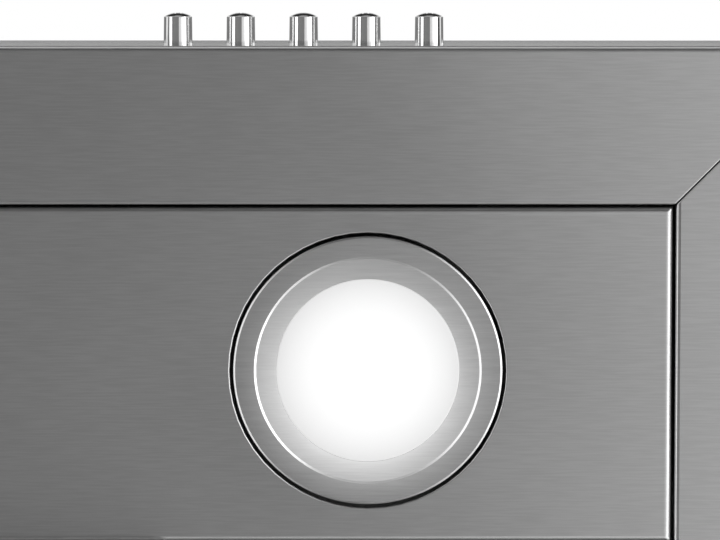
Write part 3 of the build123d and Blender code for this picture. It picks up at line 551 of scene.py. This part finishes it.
def tighten(origin, inward, along, lip_bend):
    """The up-turned lip of a border gets a tighter bend than the CAD's. Its mitred ends keep their plane."""
    origin, inward, along = Vector(origin), Vector(inward), Vector(along)

    def shape(bm):
        for vert in bm.verts:
            place = vert.co - origin
            across, height = place.dot(inward) / mm, place.z / mm
            if across < border_width - bend_outer - slack:
                continue
            side = 1 if place.dot(along) > 0 else -1
            if across > border_width - sheet_thickness - 0.3:
                vert.co += (inward - along * side) * lip_shift * mm
            if height > bend_outer + slack:
                continue
            radius = math.hypot(across - (border_width - bend_outer), height - bend_outer)
            if abs(radius - bend_outer) < on_arc:
                corner, share = (border_width, 0.0), lip_bend / bend_outer
            elif abs(radius - (bend_outer - sheet_thickness)) < on_arc:
                corner, share = (border_width - sheet_thickness, sheet_thickness), inner_share
            else:
                continue
            moved = corner[0] + (across - corner[0]) * share - across
            raised = corner[1] + (height - corner[1]) * share - height
            vert.co += (inward * moved - along * side * moved) * mm
            vert.co.z += raised * mm

    return shape


borders = {
    "canopy_front": ((0, front_y, underside_z), (0, 1, 0), (1, 0, 0), 0.6),
    "canopy_back": ((0, 0, underside_z), (0, -1, 0), (1, 0, 0), 1.1),
    "canopy_left": ((-side_x, front_y / 2, underside_z), (1, 0, 0), (0, 1, 0), 1.1),
    "canopy_right": ((side_x, front_y / 2, underside_z), (-1, 0, 0), (0, 1, 0), 1.1),
}
front_edge, border_edge = 0.40, 0.26
button_z = sum(corner.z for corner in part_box("button_1")) / 2


def button_hole(edge):
    return all(v.co.y < front_y + 4 * mm and abs(v.co.z - button_z) < 8 * mm for v in edge.verts)


for name, way in borders.items():
    if name == "canopy_front":
        soften(name, front_edge, shape=tighten(*way), crisp=button_hole)
    else:
        soften(name, border_edge, shape=tighten(*way))

panel_low, panel_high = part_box("lamp_panel")
panel_edge, panel_rim_edge, panel_flange = 0.45, 0.9, 1.6


def widen(bm):
    """The lamp panel's front and side edges come a little nearer to the borders."""
    for vert in bm.verts:
        if vert.co.y < panel_low.y + panel_flange * mm:
            vert.co.y -= lip_shift * mm
        if min(vert.co.x - panel_low.x, panel_high.x - vert.co.x) < panel_flange * mm:
            vert.co.x += math.copysign(lip_shift * mm, vert.co.x)


def panel_rim(edge):
    """The folded edges all round the lamp panel's underside."""

    def inset(place):
        return min(
            place.x - panel_low.x, panel_high.x - place.x, place.y - panel_low.y, panel_high.y - place.y,
        )

    return all(v.co.z < panel_low.z + 0.3 * mm and inset(v.co) < 0.5 * mm for v in edge.verts)


soften("lamp_panel", panel_edge, segments=3, shape=widen, wide=(panel_rim, panel_rim_edge))

# Lamps: a turned can with a flat brushed bezel, a stepped and dished inner ring, and a lit opal lens

axis_x, axis_y, axis_z = (1, 0, 0), (0, 1, 0), (0, 0, 1)
panel_face = panel_low.z / mm
can_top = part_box("lamp_body_right")[1].z / mm - panel_face
lens_radius, dish_radius, face_depth = 23.95, 29.2, 1.2
can_radius, fin_depth, fin_pitch = 34.2, 2.0, 2.6


def lamp_zone(place):
    """Dish, bezel or can, from where a profile point lies."""
    if place.y >= face_depth:
        return 0
    return 2 if lens_radius - 0.05 < place.x < dish_radius else 1


def lamp(side_name, sign):
    body = [
        (0.0, 3.4, 0), (24.0, 3.4, 0.2), (24.0, 0.66, 0.04), (29.05, 0.36, 0.05), (29.18, 0.36, 0.05),
        (29.75, 0.0, 0.12), (34.66, 0.0, 0.12), (35.14, 0.26, 0.1), (35.24, 0.9, 0.1), (35.0, 5.5, 0.3),
        (can_radius, 6.2, 0.3),
    ]
    height = 8.4
    groove = can_radius - fin_depth
    while height < can_top - fin_pitch:
        for r, h in ((can_radius, 0.0), (groove, 0.0), (groove, 1.2), (can_radius, 1.2)):
            body.append((r, height + h, 0.2))
        height += fin_pitch
    body += [(can_radius, can_top, 0.8), (12.0, can_top, 0.4)]
    body += [(11.0, can_top - 0.8, 0.3), (0.0, can_top - 0.8, 0)]
    centre = (sign * lamp_x, lamp_y, panel_face * mm)
    lathe(
        f"lamp_can_{side_name}", body, centre, (axis_x, axis_y, axis_z), 192,
        [lamp_can, steel_bezel_painted_glow, lamp_dish_painted_glow], "hood", "lamp_metal", (f"lamp_body_{side_name}",), zone=lamp_zone,
    )
    lens = [
        (0.0, 0.60, 0), (12.0, 0.60, 30.0), (23.6, 0.66, 0.1), (lens_radius, 0.72, 0.05),
        (lens_radius, 3.35, 0.3), (0.0, 3.35, 0),
    ]
    lathe(
        f"lamp_glass_{side_name}", lens, centre, (axis_x, axis_y, axis_z), 160,
        [lens_lit], "hood", "lamp_lens", (f"lamp_lens_{side_name}",),
    )
    bm = bmesh.new()
    for end in (-1, 1):
        clip_line = ((33.6, 9.0), (40.0, 9.0), (43.0, 1.1), (62.0, 1.1))
        corners = [(sign * lamp_x / mm + end * out, lamp_y / mm, panel_face + up) for out, up in clip_line]
        strip(bm, bend_path(corners, 1.6), 15.6, 1.2, (0, end, 0))
    close_up(bm)
    weigh(new_piece(f"lamp_clips_{side_name}", bm, [spring_steel], "hood", "lamp_metal"))


lamp("right", 1)
lamp("left", -1)

# Push buttons: a chromed cap with a low domed tip and its stem


def cut(piece, boxes):
    """Grooves: takes rounded blocks, in mm, out of a piece."""
    bm = bmesh.new()
    for low, high in boxes:
        slab(bm, low, high, 0.08)
    mesh = bpy.data.meshes.new("cutter")
    bm.to_mesh(mesh)
    bm.free()
    cutter = bpy.data.objects.new("cutter", mesh)
    scene.collection.objects.link(cutter)
    modifier = piece.modifiers.new("groove", "BOOLEAN")
    modifier.operation, modifier.solver, modifier.object = "DIFFERENCE", "EXACT", cutter
    bpy.context.view_layer.update()
    made = bpy.data.meshes.new_from_object(piece.evaluated_get(bpy.context.evaluated_depsgraph_get()))
    piece.modifiers.clear()
    piece.data = made
    bpy.data.objects.remove(cutter)


fascia = front_y / mm
button_marks = {1: (-0.75, 0.75), 2: (0.0,), 3: (), 4: (-0.9, 0.5), 5: (-0.6, 0.9)}
mark_half_width, mark_half_length, mark_depth = 0.22, 1.9, 0.42
dome_height = 1.04


def button(index, marks):
    low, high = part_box(f"button_{index}")
    x, z = (low.x + high.x) / 2 / mm, (low.z + high.z) / 2 / mm
    reach = fascia - low.y / mm
    cap = [
        (0.0, reach, 0), (1.95, reach, 6.2), (3.74, reach - dome_height, 0.16), (3.83, 0.6, 0),
        (3.85, -4.5, 0.3), (0.0, -4.5, 0),
    ]
    # the domed tip takes the darker chrome: a painted dark reflection
    piece = lathe(
        f"button_cap_{index}", cap, Vector((x, fascia, z)) * mm, (axis_x, (0, 0, -1), (0, -1, 0)), 96,
        [chrome, chrome_painted_dark_reflection], f"button_{index}", "button_chrome", (f"button_{index}",), steps=10,
        exact=not marks, zone=lambda place: 1 if place.y > reach - dome_height + 0.02 else 0,
    )
    if marks:
        tip = fascia - reach
        grooves = []
        for mark in marks:
            start = (x + mark - mark_half_width, tip - 1, z - mark_half_length)
            end = (x + mark + mark_half_width, tip + mark_depth, z + mark_half_length)
            grooves.append((start, end))
        cut(piece, grooves)
        piece.data.set_sharp_from_angle(angle=math.radians(28))
        weigh(piece)
    bm = bmesh.new()
    slab(bm, (x - 1.5, fascia + 4.3, z - 2.5), (x + 1.5, high.y / mm, z + 2.5), 0.3)
    close_up(bm)
    weigh(new_piece(f"button_stem_{index}", bm, [plastic_dark], f"button_{index}", "button_chrome"))


for index, marks in button_marks.items():
    button(index, marks)

# Filter handles: a bent strip with rounded edges


def handle(side):
    node = f"filter_handle_{side}"
    low, high = (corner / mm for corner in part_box(node))
    y = (low.y + high.y) / 2
    bm = bmesh.new()
    corners = [(low.x, y, high.z), (low.x, y, low.z), (high.x, y, low.z), (high.x, y, high.z)]
    strip(bm, bend_path(corners, 3.2), high.y - low.y, 2.0, (0, 1, 0), 0.35)
    close_up(bm)
    weigh(new_piece(f"filter_grip_{side}", bm, [finish_of(node)], f"filter_{side}", slot_of[node], (node,)))


handle("left")
handle("right")

# Screw heads: a hexagon with a turned chamfer and a shallow dish in its top


def islands(bm):
    """The separate groups of joined vertices, in the order of the mesh."""
    bm.verts.index_update()
    waiting = {vert: True for vert in bm.verts}
    while waiting:
        island, fresh = {}, [next(iter(waiting))]
        while fresh:
            vert = fresh.pop()
            if vert not in island:
                island[vert] = True
                del waiting[vert]
                fresh.extend(e.other_vert(vert) for e in vert.link_edges)
        yield sorted(island, key=lambda vert: vert.index)


def screw_head(bm, corners, count=48):
    """A head in place of the hexagon with these corner vertices: its place, size and axis are theirs."""
    low = Vector([min(v.co[i] for v in corners) for i in range(3)])
    high = Vector([max(v.co[i] for v in corners) for i in range(3)])
    middle, size = (low + high) / 2, high - low
    axis = min(range(3), key=lambda i: size[i])
    out = Vector([0, 0, 0])
    out[axis] = 1 if axis == 2 or middle[axis] > 0 else -1
    across = max(((v.co - middle) for v in corners), key=lambda d: (d - out * d.dot(out)).length)
    across -= out * across.dot(out)
    flat, height = across.length * math.cos(math.pi / 6), size[axis]
    across.normalize()
    up = out.cross(across)
    base = middle - out * (height / 2)
    top = flat * 0.93
    rings = [[] for _ in range(5)]
    for k in range(count):
        angle = 2 * math.pi * k / count
        hexagon = flat / math.cos(angle % (math.pi / 3) - math.pi / 6)
        chamfer = (hexagon - top) * math.tan(math.radians(30))
        profile = (
            (hexagon, 0.0), (hexagon, height - chamfer), (top, height), (top * 0.72, height),
            (top * 0.60, height * 0.88),
        )
        spoke = across * math.cos(angle) + up * math.sin(angle)
        for ring, (reach, level) in zip(rings, profile):
            ring.append(bm.verts.new(base + spoke * reach + out * level))
    for lower, upper in zip(rings, rings[1:]):
        for k in range(count):
            n = (k + 1) % count
            bm.faces.new([lower[k], lower[n], upper[n], upper[k]])
    bm.faces.new(rings[-1])
    bm.faces.new(list(reversed(rings[0])))


def screw_heads(name):
    """One piece for all the heads of a node."""
    source, bm = bmesh.new(), bmesh.new()
    source.from_mesh(nodes[name].data)
    bmesh.ops.remove_doubles(source, verts=source.verts, dist=1e-6)
    for corners in islands(source):
        screw_head(bm, corners)
    source.free()
    close_up(bm)
    piece = new_piece(f"{name}_turned", bm, [finish_of(name)], body_of[name], slot_of[name], (name,))
    piece.data.set_sharp_from_angle(angle=math.radians(25))


screw_heads("cover_screws")
screw_heads("bracket_screws")

# Every other node, with its edges rounded over

edge_width = {
    "impeller": 0.12, "motor": 0.8, "capacitor": 0.8, "lamp_driver": 0.8, "switch_block": 0.5,
    "terminal_block": 0.4, "filter_magnets": 0.3, "duct_collar": 0.3, "junction_cover": 0.4,
    "blower_box": 0.35, "chimney_bracket": 0.3,
}
usual_edge = 0.2
for name in sorted(nodes):
    if name not in replaced:
        soften(name, edge_width.get(name, usual_edge))

# Camera, at the photograph's viewing angle: under the hood, looking up

camera = bpy.data.cameras.new("camera")
camera.lens = 210.0
camera.sensor_width = 36.0
camera.clip_end = 200.0
eye = bpy.data.objects.new("camera", camera)
eye.location = (0.24760, -0.53114, -1.30587)
eye.rotation_euler = [math.radians(a) for a in (175.3131, 0.4621, -0.0250)]
scene.collection.objects.link(eye)
scene.camera = eye

# World: plain grey light, and a white background for the camera, metal and glass

world = bpy.data.worlds.new("studio")
world.use_nodes = True
scene.world = world
tree = world.node_tree
tree.nodes.clear()
path = tree.nodes.new("ShaderNodeLightPath")
seen = tree.nodes.new("ShaderNodeMath")
seen.operation = "MAXIMUM"
tree.links.new(path.outputs["Is Camera Ray"], seen.inputs[0])
tree.links.new(path.outputs["Is Glossy Ray"], seen.inputs[1])
through = tree.nodes.new("ShaderNodeMath")
through.operation = "MAXIMUM"
tree.links.new(seen.outputs[0], through.inputs[0])
tree.links.new(path.outputs["Is Transmission Ray"], through.inputs[1])
level = tree.nodes.new("ShaderNodeMapRange")
level.inputs["To Min"].default_value = 0.42
level.inputs["To Max"].default_value = 1.0
tree.links.new(through.outputs[0], level.inputs["Value"])
sky = tree.nodes.new("ShaderNodeBackground")
sky.inputs["Color"].default_value = rgb(1.0)
tree.links.new(level.outputs[0], sky.inputs["Strength"])
world_out = tree.nodes.new("ShaderNodeOutputWorld")
tree.links.new(sky.outputs[0], world_out.inputs[0])

# Floor: pale and plain near the hood, and as white as the background far away

floor_height = -1.8
bm = bmesh.new()
bmesh.ops.create_circle(bm, cap_ends=True, radius=70.0, segments=96)
for vert in bm.verts:
    vert.co.z = floor_height
floor_mesh = bpy.data.meshes.new("floor")
bm.to_mesh(floor_mesh)
bm.free()
floor_surface = Surface("floor", Roughness=0.8)
speck = floor_surface.noise(300.0, detail=2.0)
floor_surface.set(
    Base_Color=floor_surface.grey(floor_surface.span(speck, 0.325, 0.35)),
    Normal=floor_surface.bump(speck, 1e-5, 0.3),
)
level_part = {0: floor_surface.place, 1: (1.0, 1.0, 0.0)}
flat = floor_surface.add("ShaderNodeVectorMath", level_part, operation="MULTIPLY")
away = floor_surface.add("ShaderNodeVectorMath", {0: flat.outputs[0]}, operation="LENGTH").outputs["Value"]
far = floor_surface.span(away, 0.0, 1.0, 1.6, 3.6, smooth=True)
rays = floor_surface.add("ShaderNodeLightPath").outputs
shown = floor_surface.math("MAXIMUM", rays["Is Camera Ray"], rays["Is Glossy Ray"])
shown = floor_surface.math("MAXIMUM", shown, rays["Is Transmission Ray"])
far = floor_surface.math("MULTIPLY", far, shown)
white = floor_surface.add("ShaderNodeEmission", {"Color": rgb(1.0), "Strength": 1.0})
near_and_far = {0: far, 1: floor_surface.shader.outputs[0], 2: white.outputs[0]}
mixed = floor_surface.add("ShaderNodeMixShader", near_and_far)
floor_surface.tree.links.new(mixed.outputs[0], floor_surface.out.inputs[0])
floor_mesh.materials.append(floor_surface.material)
floor = bpy.data.objects.new("floor", floor_mesh)
scene.collection.objects.link(floor)

# Studio lights


def softbox(name, place, aim, size, radiance, long=None):
    """A soft lamp at place that faces aim. long is the direction that its first size runs along."""
    light = bpy.data.lights.new(name, "AREA")
    light.shape = "RECTANGLE"
    light.size, light.size_y = size
    light.energy = radiance * math.pi * size[0] * size[1]
    box = bpy.data.objects.new(name, light)
    box.location = place
    facing = (Vector(aim) - Vector(place)).normalized()
    box.rotation_euler = facing.to_track_quat("-Z", "Y").to_euler()
    if long:
        first = (Vector(long) - facing * facing.dot(Vector(long))).normalized()
        box.rotation_euler = Matrix((first, first.cross(facing), -facing)).transposed().to_euler()
    box.visible_camera = False
    scene.collection.objects.link(box)


softbox("below_right_near", (0.60, 0.05, -1.42), (0.60, 0.05, 0.0), (0.40, 2.7), 0.58, (1, 0, 0))
softbox("below_right_middle", (1.00, 0.05, -1.42), (1.00, 0.05, 0.0), (0.40, 2.7), 0.95, (1, 0, 0))
softbox("below_right_far", (1.45, 0.05, -1.42), (1.45, 0.05, 0.0), (0.50, 2.7), 2.05, (1, 0, 0))
softbox("below_right", (1.97, -0.75, -1.18), (0.24, -0.75, -0.2), (3.0, 0.6), 2.8, (0, 1, 0))
softbox("below_left", (-1.47, -0.30, -1.21), (0.24, -0.30, -0.2), (3.2, 0.72), 1.6, (0, 1, 0))
softbox("below_back", (0.1, 0.80, -1.50), (0.1, 0.80, 0.0), (1.4, 0.8), 0.45)
softbox("top_front", (-1.6, -2.8, 2.2), (0.0, -0.2, 0.1), (2.0, 1.6), 1.2)
softbox("top_right", (2.6, -1.2, 1.6), (0.0, -0.2, 0.1), (1.2, 1.8), 1.0)
softbox("top_back", (-0.8, 2.8, 1.9), (0.0, -0.2, 0.1), (2.0, 1.4), 1.0)

# Dark flags round the hood, which only metal sees: they stand for the dark parts of a room


def flag(name, corners, level):
    """A card with these corners, whose own light is level."""
    mesh = bpy.data.meshes.new(name)
    mesh.from_pydata(corners, [], [(0, 1, 2, 3)])
    dark = Surface(name, Roughness=0.9, Base_Color=rgb(0.0), Emission_Color=rgb(1.0), Emission_Strength=level)
    mesh.materials.append(dark.material)
    card = bpy.data.objects.new(name, mesh)
    scene.collection.objects.link(card)
    for ray in ("camera", "diffuse", "transmission", "volume_scatter", "shadow"):
        setattr(card, f"visible_{ray}", False)


def upright(x, y, z):
    """Corners of an upright card. Each of x, y and z is where it starts and ends."""
    return [(x[0], y[0], z[0]), (x[1], y[1], z[0]), (x[1], y[1], z[1]), (x[0], y[0], z[1])]


room_left, room_right, room_top, room_front, room_back = -2.2, 2.6, 1.5, -2.2, 2.2
over_y, over_z, hood_x, cap_y = (-0.56, 0.35), (0.75, 1.5), (-0.9, 1.4), (-0.80, -0.25)
front_upper_y, front_upper_z = -1.3, 0.92
flag("flag_top", [(x, y, room_top) for x, y in (
    (room_left, over_y[0]), (room_right, over_y[0]), (room_right, over_y[1]), (room_left, over_y[1]),
)], 0.21)
flag("flag_left", upright((room_left,) * 2, over_y, over_z), 0.20)
flag("flag_right", upright((room_right,) * 2, over_y, over_z), 0.20)
flag("flag_front", [
    (hood_x[0], front_upper_y, room_top), (hood_x[1], front_upper_y, room_top),
    (hood_x[1], room_front, front_upper_z), (hood_x[0], room_front, front_upper_z),
], 0.06)
flag("flag_low_front", upright(hood_x, (room_front,) * 2, (-1.75, -0.20)), 0.07)
flag("flag_low_back", upright(hood_x, (room_back,) * 2, (-1.75, -0.55)), 0.14)
flag("flag_cap_left", upright((room_left,) * 2, cap_y, (-0.98, -0.20)), 0.24)
flag("flag_cap_right", upright((room_right,) * 2, cap_y, (-0.86, 0.05)), 0.08)
